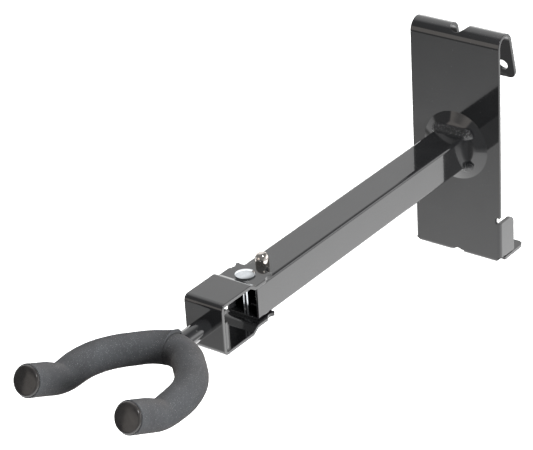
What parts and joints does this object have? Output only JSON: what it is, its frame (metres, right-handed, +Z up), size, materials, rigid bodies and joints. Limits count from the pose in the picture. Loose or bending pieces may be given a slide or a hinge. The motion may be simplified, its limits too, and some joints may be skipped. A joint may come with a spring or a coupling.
{
  "type": "grid wall hanger arm",
  "caption": "Swivelling hanger arm for a grid or mesh wall: hook plate, square steel arm, spring-button swivel and foam-padded U yoke.",
  "frame": {"origin": "axis of the grid wire seated in the hook roll, at mid width", "axes": "+Z up, +X across the plate, +Y towards the wall; the arm reaches along -Y"},
  "size_m": [0.0984, 0.4514, 0.1758],
  "materials": {
    "gloss_black_steel": "high-gloss black powder coat over mild steel",
    "foam": "matte closed-cell foam, finely speckled",
    "cap_plastic": "glossy black moulded plastic",
    "zinc": "bright zinc plate",
    "nickel": "polished nickel plate",
    "spring_steel": "oiled spring steel",
    "nylon": "plain nylon"
  },
  "bodies": {
    "arm": {"back_plate": "gloss_black_steel", "arm_tube": "gloss_black_steel", "arm_weld": "gloss_black_steel", "lock_spring": "spring_steel"},
    "yoke": {"swivel_bracket": "gloss_black_steel", "stem_plate": "gloss_black_steel", "yoke_stem": "gloss_black_steel", "yoke_rod": "gloss_black_steel", "yoke_weld": "gloss_black_steel", "foam_left": "foam", "foam_right": "foam", "cap_left": "cap_plastic", "cap_right": "cap_plastic", "pivot_bolt": "zinc", "pivot_washer": "zinc", "pivot_nut": "zinc", "nut_insert": "nylon"},
    "button": {"lock_button": "nickel"}
  },
  "joints": [
    {"name": "bracket_swivel", "type": "hinge", "parent": "arm", "child": "yoke", "pos_m": [0, -0.2583, -0.0804], "axis": [0, 0, 1], "range_deg": [-72, 72], "deforming": ["lock_button"]},
    {"name": "button_press", "type": "slide", "parent": "arm", "child": "button", "axis": [0, 0, -1], "range_m": [0, 0.0105], "stiffness_N_per_m": 500, "springref_m": -0.006, "deforming": ["lock_spring"]}
  ]
}
